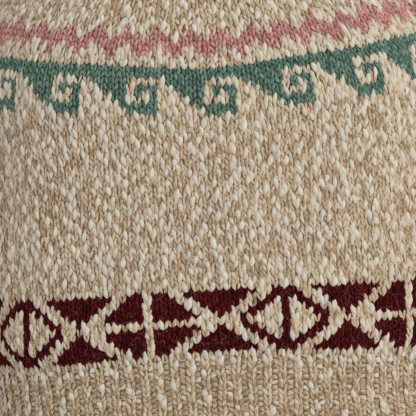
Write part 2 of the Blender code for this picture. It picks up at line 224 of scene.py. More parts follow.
# Places across the repeat, in stitches from a diamond's middle
LAST_PLACE = 28
DIAMOND_HALF = 7
TRIANGLES_AT = (-9, 9, 25)
BAR_CENTRE = 17
BAR_HALF = 6
BAR_ENDS = (0, 5)

MARL, GREEN, PINK, BURGUNDY = range(4)
YARN_NAMES = ("marl", "green", "pink", "burgundy")
YARN_SLOTS = ("marl_yarn", "green_yarn", "pink_yarn", "burgundy_yarn")

# The part of the front that is seen close: half width and lowest and highest point
CLOSE_HALF_WIDTH = 0.180
CLOSE_LOW = -0.520
CLOSE_HIGH = -0.128

# The ground lies BASE_DEPTH below the part's outer surface, and TROUGH_GROUND higher between ribs
BASE_DEPTH = 1.0 * MM
TROUGH_GROUND = 0.2 * MM
TROUGH_DEPTH = 0.6 * MM
INSIDE_RIPPLE = 0.5 * MM
NEAR_STITCH = 0.3
TRIANGLES_PER_PIECE = 150000

# The least and the most legs from one thick stretch of yarn to the next
SLUB_GAPS = (3, 7)
RARE_SLUB_GAPS = (2, 6)
RIB_SLUB_GAPS = (5, 13)

# How thick the thick stretches are, and the least tone and the range of each sort
SLUB_LEAST = 0.45
THICK_TONES = (0.86, 0.14)
THIN_TONES = (0.04, 0.62)
TONE_REACH = 0.7
BAND_SLUB = 0.85
GLOW_RANGE = 0.6
YOKE_GLOW = (0.66, 0.16)
BODY_GLOW = (0.42, 0.02)

# A strand's ends, the place of its highest point and of its drooping tail
END_TAPER = 0.06
PEAK_LEAN = 0.8
TAIL_START = 0.55

# The form of a knit stitch's leg. Places and widths are shares of a stitch, depths are millimetres.
# Each row: mean, spread, what a thick stretch adds. A pair is for marl and for coloured yarn,
# and that of fullness, which says how blunt a strand is, for thick and for thin.
KNIT_FORM = {
    "width": ((0.43, 0.44), (0.06, 0.035), 0.34),
    "foot": (0.07, (0.045, 0.0225), 0.0),
    "foot_height": ((-0.38, -0.30), (0.13, 0.065), -0.14),
    "head": (0.42, (0.065, 0.0325), 0.0),
    "head_height": ((1.17, 1.10), (0.14, 0.07), 0.36),
    "sway": (0.0, (0.045, 0.0225), 0.0),
    "depth": (-0.70, (0.10, 0.05), 0.65),
    "end_depth": ((-1.15, -1.5), 0.0, 0.85),
    "tail_drop": (0.5, 0.0, -0.5),
    "plump": (0.95, 0.0, -0.25),
    "shade": (1.0, (0.05, 0.09), 0.0),
    "fullness": (0.98, 0.64),
}
RIB_KNIT_FORM = {
    **KNIT_FORM,
    "width": (0.4988, 0.0696, 0.3944),
    "foot": (0.06, 0.045, 0.0),
    "head": (0.46, 0.065, 0.0),
    "head_height": (1.0062, 0.14, 0.36),
}
LEG_BOW = 0.03
WALE_SHIFT = 0.03

# The form of a purl stitch's bumps, in the same columns
PURL_FORM = {
    "half_length": (0.48, 0.08, -0.08),
    "tilt": (0.0, 0.24, 0.0),
    "end_height": (0.0, 0.06, 0.0),
    "width": (0.4756, 0.058, 0.3712),
    "sway": (0.0, 0.04, 0.0),
    "depth": (-0.10, 0.18, 0.8),
    "end_depth": (-0.55, 0.0, 0.4),
    "tail_drop": (0.0, 0.0, 0.0),
    "plump": (0.8, 0.0, 0.0),
    "shade": (1.0, 0.09, 0.0),
    "fullness": (0.55, 0.55),
}
PURL_BUMPS = [
    # height in the stitch, bend, tilt
    (0.22, 0.15, 0.20),
    (0.72, -0.14, -0.22),
]
PURL_SLUB = 0.4
PURL_BRIGHT_FROM = 0.3
PURL_TONE = 0.7

# Loose hairs
HAIR_WIDTH = 0.08 * MM
HAIR_LENGTH = (4 * MM, 9 * MM)
HAIR_DEPTH = (1.3 * MM, 0.5 * MM)
HAIR_ROOT = -0.1 * MM
HAIR_SPREAD = 0.5
HAIR_SWAY = 0.25
HAIR_FULLNESS = 0.3
HAIR_TONE = 0.5
HAIR_CHANCE = 0.12
COLOUR_HAIR_CHANCE = 0.45
FAR_HAIR_SHARE = 0.25

# Places in the picture that a material is baked to
UV_MARGIN = 0.08
UV_HALF = np.array([0.98, 0.44])
UV_OUTSIDE = np.array([0.01, 0.01])
UV_INSIDE = np.array([0.01, 0.47])
UV_RIMS = 0.93
UV_RIM_STEP = 0.015
UV_RIM_HEIGHT = 0.01

# How the wales drift to either side: waves in radians a metre, as shares of a stitch
DRIFT = [
    # along x, along y, along z, start, share
    (95, 60, 130, 0.4, 0.07),
    (-170, 40, 210, 1.9, 0.05),
    (330, 90, -420, 4.0, 0.04),
]


def smooth_step(share):
    share = np.clip(share, 0.0, 1.0)
    return share * share * (3.0 - 2.0 * share)


def unit(vectors):
    length = np.linalg.norm(vectors, axis=-1, keepdims=True)
    return vectors / np.maximum(length, 1e-12)


def together(*parts):
    """Arrays side by side on a new last axis."""
    return np.stack(np.broadcast_arrays(*parts), axis=-1)


def from_table(rows, at):
    """Smooth curves through the columns of a table, whose first column is the place."""
    table = np.array(rows, dtype=float)
    place, value = table[:, 0], table[:, 1:] * MM
    slope = np.gradient(value, place, axis=0)
    index = min(max(np.searchsorted(place, at, side="right") - 1, 0), len(place) - 2)
    span = place[index + 1] - place[index]
    t = (at - place[index]) / span
    start = (1 + 2 * t) * (1 - t) ** 2 * value[index] + t * (1 - t) ** 2 * span * slope[index]
    end = t * t * (3 - 2 * t) * value[index + 1] + t * t * (t - 1) * span * slope[index + 1]
    return start + end


def lengths_along(line):
    """How far along an open line each of its points lies."""
    return np.concatenate([[0.0], np.cumsum(np.linalg.norm(np.diff(line, axis=0), axis=1))])


def at_shares(line, shares):
    """Points at shares of an open line's own length."""
    length = lengths_along(line)
    place = np.asarray(shares) * length[-1]
    return together(*(np.interp(place, length, column) for column in line.T))


def evenly(line, count):
    return at_shares(line, np.linspace(0.0, 1.0, count + 1))


def mirrored(line):
    return line[::-1] * np.array([-1.0, 1.0, 1.0])


def yoke_edge_arcs():
    """The lower edge of the yoke as four dense arcs that start at the front centre's right."""
    half = np.array(YOKE_EDGE, dtype=float) * MM
    loop = np.concatenate([half, mirrored(half)[1:-1]])
    count = len(loop)
    dense = []
    for index in range(count):
        before, start, end, after = (loop[(index + step) % count] for step in (-1, 0, 1, 2))
        for t in np.arange(CURVE_STEPS) / CURVE_STEPS:
            bend = 2 * start + (end - before) * t
            bend = bend + (2 * before - 5 * start + 4 * end - after) * t**2
            bend = bend + (3 * start - before - 3 * end + after) * t**3
            dense.append(bend / 2)
    dense = np.array(dense)
    front_corner = FRONT_CORNER * CURVE_STEPS
    back_corner = BACK_CORNER * CURVE_STEPS
    left = dense[front_corner : back_corner + 1]
    front_half = dense[: front_corner + 1]
    back_half = dense[back_corner : (len(half) - 1) * CURVE_STEPS + 1]
    return {
        "front": np.concatenate([mirrored(front_half)[:-1], front_half]),
        "left": left,
        "back": np.concatenate([back_half, mirrored(back_half)[1:]]),
        "right": mirrored(left),
    }


ARCS = yoke_edge_arcs()


def upward_at_edge(points):
    """The way the cloth runs up from the yoke's lower edge: straight up, or up the arm."""
    spread = (np.abs(points[:, 0]) - UNDERARM_X) / (SLEEVE_OUTER_X - UNDERARM_X)
    lean = ARM_LEAN * smooth_step(spread) * -np.sign(points[:, 0])
    return unit(together(lean, 0.0, 1.0))


def neck_points(angles):
    middle = (NECK_FRONT + NECK_BACK) / 2
    depth = (NECK_BACK - NECK_FRONT) / 2
    x = NECK_HALF_WIDTH * np.sin(angles)
    y = middle - depth * np.cos(angles)
    z = sum(dip * np.cos(turns * angles) for turns, dip in enumerate(NECK_DIPS))
    return together(x, y, z)


def neck_angles(shares):
    """Angles from the front centre that part the neck edge into shares of its length."""
    angles = np.linspace(0.0, 2 * math.pi, NECK_RING_POINTS)
    length = lengths_along(neck_points(angles))
    return np.interp(shares, length / length[-1], angles)


def neck_arrival(angles):
    x = -NECK_SLOPE_SIDE * np.sin(angles)
    y = NECK_SLOPE_FRONT * np.cos(angles)
    z = NECK_RISE_SIDE + NECK_RISE_FRONT * np.cos(angles) ** 2
    return unit(together(x, y, z))


def yoke_grid(rows, columns):
    """Row 0 at the lower edge and the last row at the neck, from the front centre leftward."""
    front = ARCS["front"]
    middle = len(front) // 2
    loop = [front[middle:], ARCS["left"][1:], ARCS["back"][1:], ARCS["right"][1:], front[1 : middle + 1]]
    ring = evenly(np.concatenate(loop), columns)[:-1]
    angles = neck_angles(np.arange(columns) / columns)
    neck = neck_points(angles)
    reach = YOKE_REACH * np.linalg.norm(neck - ring, axis=1, keepdims=True)
    lower = ring + upward_at_edge(ring) * reach
    upper = neck - neck_arrival(angles) * reach
    lines = []
    t = np.linspace(0.0, 1.0, MERIDIAN_POINTS)[:, None]
    for p0, p1, p2, p3 in zip(ring, lower, upper, neck):
        line = (1 - t) ** 3 * p0 + 3 * t * (1 - t) ** 2 * p1 + 3 * t**2 * (1 - t) * p2 + t**3 * p3
        lines.append(evenly(line, rows))
    return np.stack(lines, axis=1)


def oval_half(half_width, depth, side):
    """Half of a body section, from the wearer's right side to the left."""
    angle = np.linspace(-math.pi / 2, math.pi / 2, RING_POINTS)
    power = 2.0 / BODY_ROUNDNESS
    x = half_width * np.sign(angle) * np.abs(np.sin(angle)) ** power
    y = side * depth * np.abs(np.cos(angle)) ** power
    return together(x, y, 0.0)


def hem_dip(x):
    """How far the hem hangs below its middle, out towards the sides."""
    return HEM_DIP * smooth_step(np.abs(x) / HEM_DIP_REACH)


def body_grid(panel, rows, columns):
    """Row 0 at the yoke and the last row at the hem rib, from the wearer's right to the left."""
    side = -1.0 if panel == "front" else 1.0
    arc = ARCS["front"] if panel == "front" else ARCS["back"][::-1]
    right_side = np.array([[-UNDERARM_X, 0.0, arc[0, 2]]])
    left_side = np.array([[UNDERARM_X, 0.0, arc[-1, 2]]])
    shares = np.linspace(0.0, 1.0, columns + 1)
    top = at_shares(np.concatenate([right_side, arc, left_side]), shares)
    grid = []
    for drop in np.linspace(0.0, 1.0, rows + 1):
        width, front, back = from_table(BODY_SECTIONS, drop)
        section = at_shares(oval_half(width, front if panel == "front" else back, side), shares)
        blend = smooth_step(drop / BODY_BLEND)
        row = top * (1 - blend) + section * blend
        row[:, 2] = top[:, 2] + (HEM_RIB_TOP - hem_dip(row[:, 0]) - top[:, 2]) * drop
        grid.append(row)
    return folded(np.stack(grid), BODY_FOLDS[panel], closed=False)


def sleeve_frame(reach):
    """Centre of a sleeve section, its outward and forward directions, and its half sizes."""
    *centre, half_width, half_depth = from_table(SLEEVE_SECTIONS, reach)
    before = from_table(SLEEVE_SECTIONS, max(reach - SLOPE_STEP, 0.0))
    after = from_table(SLEEVE_SECTIONS, min(reach + SLOPE_STEP, 1.0))
    along = unit(after[:3] - before[:3])
    outward = unit(np.array([1.0, 0.0, 0.0]) - along * along[0])
    forward = np.cross(outward, along)
    forward = forward * np.sign(-forward[1])
    return np.array(centre), outward, forward, half_width, half_depth


def round_section(centre, outward, forward, half_width, half_depth, shares):
    """An oval ring of points that starts at its inner side and runs round the front."""
    angle = np.linspace(0.0, 2 * math.pi, RING_POINTS)[:, None]
    ring = -outward * np.cos(angle) * half_width + forward * np.sin(angle) * half_depth
    return centre + at_shares(ring, shares)


def sleeve_grid(rows, columns):
    """Row 0 at the yoke and the last row at the cuff, from the underarm round the front."""
    shares = np.arange(columns) / columns
    middle = np.array([[UNDERARM_X, 0.0, ARCS["left"][0, 2]]])
    top = at_shares(np.concatenate([middle, ARCS["left"], middle]), shares)
    start = sleeve_frame(0.0)[0]
    grid = []
    for reach in np.linspace(0.0, 1.0, rows + 1):
        section_frame = sleeve_frame(reach)
        section = round_section(*section_frame, shares)
        blend = smooth_step(reach / SLEEVE_BLEND)
        grid.append((top + section_frame[0] - start) * (1 - blend) + section * blend)
    return folded(np.stack(grid), SLEEVE_FOLDS, closed=True)


def hem_grid(rows, columns):
    """Row 0 at the body, from the wearer's right side round the front."""
    grid = []
    for drop in np.linspace(0.0, 1.0, rows + 1):
        width, front, back = from_table(HEM_SECTIONS, drop)
        ring = np.concatenate([oval_half(width, front, -1.0), oval_half(width, back, 1.0)[::-1][1:]])
        row = evenly(ring, columns)[:-1]
        row[:, 2] = HEM_RIB_TOP + (HEM_BOTTOM - HEM_RIB_TOP) * drop - hem_dip(row[:, 0])
        grid.append(row)
    return np.stack(grid)


def cuff_grid(rows, columns):
    centre, outward, forward, _, _ = sleeve_frame(1.0)
    along = unit(np.array(CUFF_DIRECTION))
    shares = np.arange(columns) / columns
    grid = []
    for reach in np.linspace(0.0, 1.0, rows + 1):
        place = centre + along * reach * CUFF_LENGTH
        half_sizes = from_table(CUFF_SECTIONS, reach)
        grid.append(round_section(place, outward, forward, *half_sizes, shares))
    return np.stack(grid)


def neckband_grid(rows, columns):
    """Row 0 at the yoke and the last row at the free edge."""
    angles = neck_angles(np.arange(columns) / columns)
    base = neck_points(angles)
    upward = unit(together(-NECKBAND_LEAN * np.sin(angles), NECKBAND_LEAN * np.cos(angles), 1.0))
    return np.stack([base + upward * NECKBAND_HEIGHT * reach for reach in np.linspace(0.0, 1.0, rows + 1)])


def grid_normals(grid, closed):
    """Unit normals of a grid of points, on the side that faces out of the garment."""
    if closed:
        across = np.roll(grid, -1, axis=1) - np.roll(grid, 1, axis=1)
    else:
        across = np.gradient(grid, axis=1)
    along = np.gradient(grid, axis=0)
    normals = unit(np.cross(across, along))
    middle = grid.mean(axis=1, keepdims=True)
    facing = ((grid - middle) * normals).sum()
    return normals if facing > 0 else -normals


def folded(grid, folds, closed):
    """The grid with its ridges and troughs, which fade out towards the piece's ends."""
    normals = grid_normals(grid, closed)
    steps = np.linalg.norm(np.diff(grid[len(grid) // 2], axis=0), axis=1)
    width = steps.sum()
    length = np.linalg.norm(np.diff(grid.mean(axis=1), axis=0), axis=1).sum()
    across = np.concatenate([[0.0], np.cumsum(steps)]) / width
    if closed:
        across = across * (len(across) - 1) / len(across)
    along = np.linspace(0.0, 1.0, len(grid))
    place = together(*np.meshgrid(across * width, along * length))
    rise = np.zeros(place.shape[:2])
    for across_1, along_1, across_2, along_2, half_width, height in folds:
        start = np.array([across_1 * width, along_1 * length])
        run = np.array([across_2 * width, along_2 * length]) - start
        share = np.clip(((place - start) @ run) / (run @ run), 0.0, 1.0)
        off = np.linalg.norm(place - start - share[..., None] * run, axis=-1)
        place_along = FOLD_END + (1 - 2 * FOLD_END) * share
        swell = np.sqrt(np.clip(np.sin(math.pi * place_along), 0.0, 1.0))
        rise += height * MM * swell * np.exp(-((off / (half_width * MM)) ** 2))
    fade = smooth_step(along / FOLD_FADE_TOP) * smooth_step((1 - along) / FOLD_FADE_FOOT)
    return grid + normals * (rise * fade[:, None])[..., None]


class Cloth:
    """A surface to knit on. u runs across from 0 to 1 and v along, and up is +1 where v rises."""

    def __init__(self, grid, closed, up):
        self.closed = closed
        self.up = up
        normals = grid_normals(grid, closed)
        if closed:
            grid = np.concatenate([grid, grid[:, :1]], axis=1)
            normals = np.concatenate([normals, normals[:, :1]], axis=1)
        self.grid = grid
        self.normals = normals
        rows, columns = grid.shape[:2]
        self.across = np.linalg.norm(np.gradient(grid, axis=1), axis=-1) * (columns - 1)
        self.along = np.linalg.norm(np.gradient(grid, axis=0), axis=-1) * (rows - 1)

    def cell(self, u, v):
        rows, columns = self.grid.shape[:2]
        if self.closed:
            u = np.mod(u, 1.0)
        x = u * (columns - 1)
        y = v * (rows - 1)
        column = np.clip(np.floor(x).astype(int), 0, columns - 2)
        row = np.clip(np.floor(y).astype(int), 0, rows - 2)
        return row, column, (y - row)[..., None], (x - column)[..., None]

    def blend(self, table, u, v):
        row, column, y, x = self.cell(u, v)
        near = table[row, column] * (1 - x) + table[row, column + 1] * x
        far = table[row + 1, column] * (1 - x) + table[row + 1, column + 1] * x
        return near * (1 - y) + far * y

    def point(self, u, v, height):
        normal = unit(self.blend(self.normals, u, v))
        return self.blend(self.grid, u, v) + normal * np.asarray(height)[..., None]

    def scale(self, u, v):
        """Metres across for a whole u, and along for a whole v, near a place."""
        row, column, _, _ = self.cell(u, v)
        return self.across[row, column], self.along[row, column]


def fill(data, key, values, kind=np.float32):
    data.foreach_set(key, np.ascontiguousarray(values, dtype=kind).ravel())


def linked(name, data):
    """A new object of the scene."""
    thing = bpy.data.objects.new(name, data)
    bpy.context.scene.collection.objects.link(thing)
    return thing


def new_object(name, points, quads, material):
    mesh = bpy.data.meshes.new(name)
    mesh.vertices.add(len(points))
    fill(mesh.vertices, "co", points)
    mesh.loops.add(quads.size)
    fill(mesh.loops, "vertex_index", quads, np.int32)
    mesh.polygons.add(len(quads))
    fill(mesh.polygons, "loop_start", np.arange(0, quads.size, 4), np.int32)
    fill(mesh.polygons, "loop_total", np.full(len(quads), 4), np.int32)
    mesh.update(calc_edges=True)
    mesh.shade_smooth()
    mesh.materials.append(material)
    return linked(name, mesh)


def set_uv(piece, places):
    """places gives each corner's place in the picture that a material is baked to."""
    fill(piece.data.uv_layers.new(name="OFBake").data, "uv", places)


def set_vector(piece, name, values):
    fill(piece.data.attributes.new(name, "FLOAT_VECTOR", "POINT").data, "vector", values)


def grid_quads(corners):
    """The four corners of each cell of a grid."""
    return np.stack([corners[:-1, :-1], corners[:-1, 1:], corners[1:, 1:], corners[1:, :-1]], axis=2)


def template(along, across):
    """Places s and t of a patch's points, and its faces."""
    s, t = np.meshgrid(np.linspace(0.0, 1.0, along + 1), np.linspace(-1.0, 1.0, across + 1), indexing="ij")
    quads = grid_quads(np.arange(s.size).reshape(s.shape))
    return s.ravel(), t.ravel(), quads.reshape(-1, 4)


FINE = template(5, 4)
COARSE = template(2, 2)
HAIR = template(4, 2)


def strand_mesh(name, cloth, strands, patch, material):
    """One mesh of short strands, each a rounded patch on the cloth."""
    s, t, quads = patch
    count = len(strands["u"])
    get = {key: value[:, None] for key, value in strands.items()}
    wale, course = get["wale"], get["course"]
    run_x = (get["x1"] - get["x0"]) * wale
    run_y = (get["y1"] - get["y0"]) * course
    length = np.hypot(run_x, run_y)
    taper = np.sin(math.pi * (END_TAPER + (1 - 2 * END_TAPER) * s)) ** get["fullness"]
    half = get["width"] / 2 * wale * taper
    sway = get["sway"] * np.sin(math.pi * s)
    x = get["x0"] * wale + run_x * s + (run_y / length) * (half * t + sway * wale)
    y = get["y0"] * course + run_y * s - (run_x / length) * (half * t + sway * wale)
    rise = np.sin(math.pi * s**PEAK_LEAN)
    axis = get["end_depth"] + (get["depth"] - get["end_depth"]) * rise
    tip = get["tail_drop"] * smooth_step((s - TAIL_START) / (1 - TAIL_START))
    round_top = np.sqrt(np.maximum(1 - t * t, 0.0))
    height = axis - tip + half * get["plump"] * round_top
    across, along = cloth.scale(strands["u"], strands["v"])
    u = get["u"] + x / across[:, None]
    v = get["v"] + cloth.up * y / along[:, None]
    points = cloth.point(u, v, height).reshape(-1, 3)
    faces = (quads[None] + (np.arange(count) * len(s))[:, None, None]).reshape(-1, 4)
    piece = new_object(name, points, faces, material)
    every = (count, len(s))
    for name, values in (("mark", (s, t, get["seed"])), ("dye", (get["tone"], get["shade"], get["seed"]))):
        set_vector(piece, name, np.stack([np.broadcast_to(value, every) for value in values], axis=-1))
    side = math.ceil(math.sqrt(count))
    cell = np.arange(count)
    corner = together(cell % side, cell // side)[:, None]
    inside = UV_MARGIN + (1 - 2 * UV_MARGIN) * together((t + 1) / 2, s)[None]
    places = ((corner + inside) / side).reshape(-1, 2)
    set_uv(piece, places[faces.ravel()])
    return piece


def stacked(tables):
    return {key: np.concatenate([table[key] for table in tables]) for key in tables[0]}


def picked(table, chosen):
    return {key: value[chosen] for key, value in table.items()}


def lumpy(random, rows, count):
    """Random values that change slowly along each row of yarn, from 0 to 1 and evenly spread."""
    raw = random.normal(size=(rows, count))
    offsets = np.arange(-4, 5)
    weights = np.exp(-((offsets / TONE_REACH) ** 2))
    smooth = sum(w * np.roll(raw, o, axis=1) for w, o in zip(weights, offsets))
    order = smooth.ravel().argsort().argsort()
    return (order / order.size).reshape(smooth.shape)


def yarn_run(random, rows, count, gaps=SLUB_GAPS, below=None):
    """For every leg along the yarn: how thick it is and how much cream it shows.

    No leg is thick right above a thick one. below is the row that these rows stand on.
    """
    legs = rows * 2 * count
    places = np.cumsum(random.integers(gaps[0], gaps[1] + 1, size=legs // gaps[0] + 1))
    slub = np.zeros(legs)
    slub[places[places < legs]] = 1.0
    slub = (slub * (SLUB_LEAST + (1 - SLUB_LEAST) * random.random(legs))).reshape(rows, 2 * count)
    for row in slub:
        if below is not None and len(below) == len(row):
            row[below > 0] = 0.0
        below = row
    thin = THIN_TONES[0] + THIN_TONES[1] * lumpy(random, rows, 2 * count)
    thick = THICK_TONES[0] + THICK_TONES[1] * random.random(slub.shape)
    return slub, np.where(slub > 0, thick, thin)


def brightened(random, table, glow):
    """From the first coloured row to the last the marl shows more of its thick cream stretches.

    glow is the least tone of the thick and of the thin stretches.
    """
    worked = table["row"][table["yarn"] != MARL]
    marl = (table["yarn"] == MARL) & (table["row"] >= worked.min()) & (table["row"] <= worked.max())
    fat, _ = yarn_run(random, 1, len(marl), RARE_SLUB_GAPS)
    fat = fat.reshape(-1, 2) * marl[:, None]
    table["slub"] = np.maximum(table["slub"], BAND_SLUB * fat)
    lighter = np.where(table["slub"] > 0, glow[0], glow[1] + GLOW_RANGE * table["cream"])
    table["cream"] = np.where(marl[:, None], np.maximum(table["cream"], lighter), table["cream"])
    return table


def varied(row, draw, fat, plain=True):
    """A measure from a form's row. plain says which strands are of marl."""
    mean, spread, swell = (np.where(plain, *value) if isinstance(value, tuple) else value for value in row)
    return mean + spread * draw + swell * fat


def placed(some, wale, course):
    """What a strand has from its stitch."""
    return {"u": some["u"], "v": some["v"], "wale": wale, "course": course, "yarn": some["yarn"]}


def strand_part(random, stitch, form, lift, jitter, fat, plain, bow):
    """What a leg and a bump have in common: one strand for each stitch."""
    def measure(key, draw=0.0):
        return varied(form[key], draw, fat, plain)

    return {
        **stitch,
        "width": measure("width", jitter[0]),
        "fullness": np.where(fat > 0, *form["fullness"]),
        "sway": bow + measure("sway", jitter[5]),
        "depth": lift + MM * measure("depth", jitter[1]),
        "end_depth": lift + MM * measure("end_depth"),
        "tail_drop": MM * measure("tail_drop"),
        "plump": measure("plump"),
        "shade": measure("shade", random.normal(size=len(fat))),
        "seed": random.random(len(fat)),
    }


def knit_strands(random, some, wale, course, lift, form):
    """The two legs of every knit stitch. slub and cream have one column for each leg."""
    parts = []
    plain = some["yarn"] == MARL
    stitch = placed(some, wale, course)
    shift = WALE_SHIFT * random.normal(size=len(wale))
    for leg, side in enumerate((-1.0, 1.0)):
        fat = np.where(plain, some["slub"][:, leg], 0.0)
        jitter = random.normal(size=(6, len(wale)))
        parts.append({
            **strand_part(random, stitch, form, lift, jitter, fat, plain, side * LEG_BOW),
            "x0": side * varied(form["foot"], jitter[1], fat, plain) + shift,
            "y0": varied(form["foot_height"], jitter[2], fat, plain),
            "x1": side * varied(form["head"], jitter[3], fat, plain) + shift,
            "y1": varied(form["head_height"], jitter[4], fat, plain),
            "tone": some["cream"][:, leg],
        })
    return stacked(parts)


def purl_strands(random, some, wale, course, lift):
    """The bumps of every purl stitch: short strands that lie aslant in the trough."""
    parts = []
    form = PURL_FORM
    stitch = placed(some, wale, course)
    top_row = some["row"] == some["row"].max()
    for bump, (height, bend, slant) in enumerate(PURL_BUMPS):
        jitter = random.normal(size=(6, len(wale)))
        fat = some["slub"][:, bump] * np.where(top_row, 1.0, PURL_SLUB)
        tilt = slant + varied(form["tilt"], jitter[4], fat)
        parts.append({
            **strand_part(random, stitch, form, lift, jitter, fat, True, bend),
            "x0": -varied(form["half_length"], -jitter[0], fat),
            "y0": height - tilt + varied(form["end_height"], jitter[1], fat),
            "x1": varied(form["half_length"], jitter[2], fat),
            "y1": height + tilt + varied(form["end_height"], jitter[3], fat),
            "tone": some["cream"][:, bump] * np.where(fat > PURL_BRIGHT_FROM, 1.0, PURL_TONE),
        })
    return stacked(parts)


def hair_strands(random, some, wale, course):
    """Loose hairs that stand just off the cloth, one for each stitch of some."""
    count = len(wale)
    angle = random.random(count) * 2 * math.pi
    length = HAIR_LENGTH[0] + HAIR_LENGTH[1] * random.random(count) ** 2
    x, y = HAIR_SPREAD * random.normal(size=(2, count))
    zero = np.zeros(count)
    return {
        **placed(some, wale, course),
        "x0": x,
        "y0": y,
        "x1": x + length * np.cos(angle) / wale,
        "y1": y + length * np.sin(angle) / course,
        "width": HAIR_WIDTH / wale,
        "fullness": zero + HAIR_FULLNESS,
        "sway": HAIR_SWAY * random.normal(size=count),
        "depth": HAIR_DEPTH[0] + HAIR_DEPTH[1] * random.random(count),
        "end_depth": zero + HAIR_ROOT,
        "tail_drop": zero,
        "plump": zero + 1.0,
        "tone": HAIR_TONE + (1 - HAIR_TONE) * random.random(count),
        "shade": zero + 1.0,
        "seed": random.random(count),
    }


def yoke_count(row):
    return [count for first, count in YOKE_COUNTS if row >= first][-1]


def yoke_yarn(row, column):
    """Which yarn a yoke stitch has. Columns are counted from the front centre."""
    wave_row = row - WAVE_FIRST_ROW
    if 0 <= wave_row < len(WAVE_CHART):
        line = WAVE_CHART[len(WAVE_CHART) - 1 - wave_row]
        return GREEN if line[(column + WAVE_CENTRE_COLUMN) % len(line)] == "G" else MARL
    offset = CHEVRON_OFFSETS[column % len(CHEVRON_OFFSETS)]
    if 0 <= row - CHEVRON_FIRST_ROW - offset < CHEVRON_THICKNESS:
        return PINK
    return MARL


def body_yarn(row, column):
    """Which yarn a body stitch has. Rows are counted up from the rib."""
    step = abs(row - DIAMOND_FIRST_ROW - DIAMOND_ROWS // 2)
    if step > DIAMOND_ROWS // 2:
        return MARL
    place = (column + DIAMOND_CENTRE_COLUMN) % DIAMOND_PERIOD
    if place > LAST_PLACE:
        place -= DIAMOND_PERIOD
    bar = abs(place - BAR_CENTRE)
    if step == 0:
        return BURGUNDY if bar in BAR_ENDS else MARL
    diamond = 0 < abs(place) <= DIAMOND_HALF - step
    triangle = any(abs(place - centre) < step for centre in TRIANGLES_AT)
    outline = bar == 0 or bar >= BAR_HALF - 1 - step
    return BURGUNDY if diamond or triangle or (outline and bar <= BAR_HALF - step) else MARL


def row_edges(heights):
    """v at the edge of each row, where the rows have the heights of a table."""
    steps = np.concatenate([np.full(rows, height) for rows, height in heights])
    return np.concatenate([[0.0], np.cumsum(steps)]) / steps.sum()


YOKE_EDGES = row_edges(YOKE_ROW_HEIGHTS)
BODY_EDGES = row_edges(BODY_ROW_HEIGHTS)[::-1]
SLEEVE_EDGES = np.linspace(1.0, 0.0, SLEEVE_ROWS + 1)
CUFF_EDGES = np.linspace(1.0, 0.0, CUFF_ROWS + 1)
HEM_EDGES = np.linspace(1.0, 0.0, HEM_ROWS + 1)
NECK_EDGES = np.linspace(0.0, 1.0, NECK_ROWS + 1)


def stitch_table(u, v, yarn, row, pitch, run):
    """One value for each stitch, and in slub and cream one for each of its two legs."""
    table = {"u": u, "v": v, "yarn": yarn, "row": row, "pitch": pitch}
    table = {key: np.broadcast_to(value, len(u)) for key, value in table.items()}
    table["slub"], table["cream"] = (legs.reshape(-1, 2) for legs in run)
    return table


def yoke_stitches(random):
    tables = []
    below = None
    for row in range(YOKE_ROWS):
        columns = np.arange(yoke_count(row))
        run = yarn_run(random, 1, len(columns), below=below)
        below = run[0][-1]
        yarns = [yoke_yarn(row, int(column)) for column in columns]
        place = columns / len(columns)
        tables.append(stitch_table(place, YOKE_EDGES[row], yarns, row, 1.0 / len(columns), run))
    return brightened(random, stacked(tables), YOKE_GLOW)


def stitch_grid(rows, count):
    """The column and row of each stitch of a piece with as many in every row."""
    return (places.ravel() for places in np.meshgrid(np.arange(count), np.arange(rows)))


def panel_stitches(random, column_of):
    """Stitches of a body panel, with rows counted up from the rib."""
    column, row = stitch_grid(BODY_ROWS, BODY_STITCHES)
    run = yarn_run(random, BODY_ROWS, BODY_STITCHES)
    yarns = [body_yarn(int(r), column_of(int(c))) for r, c in zip(row, column)]
    place = (column + 0.5) / BODY_STITCHES
    table = stitch_table(place, BODY_EDGES[row], yarns, row, 1.0 / BODY_STITCHES, run)
    return brightened(random, table, BODY_GLOW)


def sleeve_stitches(random):
    """Wales run parallel to the sleeve's outer line and drop out at the underarm."""
    tables = []
    for row, v in enumerate(SLEEVE_EDGES[:-1]):
        stitches = SLEEVE_END_STITCHES + (SLEEVE_TOP_STITCHES - SLEEVE_END_STITCHES) * (1 - v)
        half = int(stitches / 2)
        columns = np.arange(-half, half + 1)
        run = yarn_run(random, 1, len(columns))
        tables.append(stitch_table(0.5 + columns / stitches, v, MARL, row, 1.0 / stitches, run))
    return stacked(tables)


def band_stitches(random, edges, count, phase):
    """Stitches of a ribbed band, with rows counted up and every second wale purled."""
    rows = len(edges) - 1
    column, row = stitch_grid(rows, count)
    slub, cream = yarn_run(random, rows, count, RIB_SLUB_GAPS)
    rare, bright = yarn_run(random, 1, count, RARE_SLUB_GAPS)
    slub[-1] = np.maximum(slub[-1], rare[0])
    cream[-1] = np.where(rare[0] > 0, bright[0], cream[-1])
    table = stitch_table((column + phase) / count, edges[row], MARL, row, 1.0 / count, (slub, cream))
    return {**table, "purl": column % 2 == 1}


def drifted(cloth, table):
    """The stitches' places across, where the wales wander as hand-knit ones do."""
    points = cloth.point(table["u"], table["v"], 0.0)
    drift = sum(share * np.sin(points @ np.array([x, y, z]) + start) for x, y, z, start, share in DRIFT)
    return table["u"] + table["pitch"] * drift


def close_up(cloth, table):
    points = cloth.point(table["u"], table["v"], 0.0)
    near = (np.abs(points[:, 0]) < CLOSE_HALF_WIDTH) & (points[:, 1] < 0)
    return near & (points[:, 2] > CLOSE_LOW) & (points[:, 2] < CLOSE_HIGH)


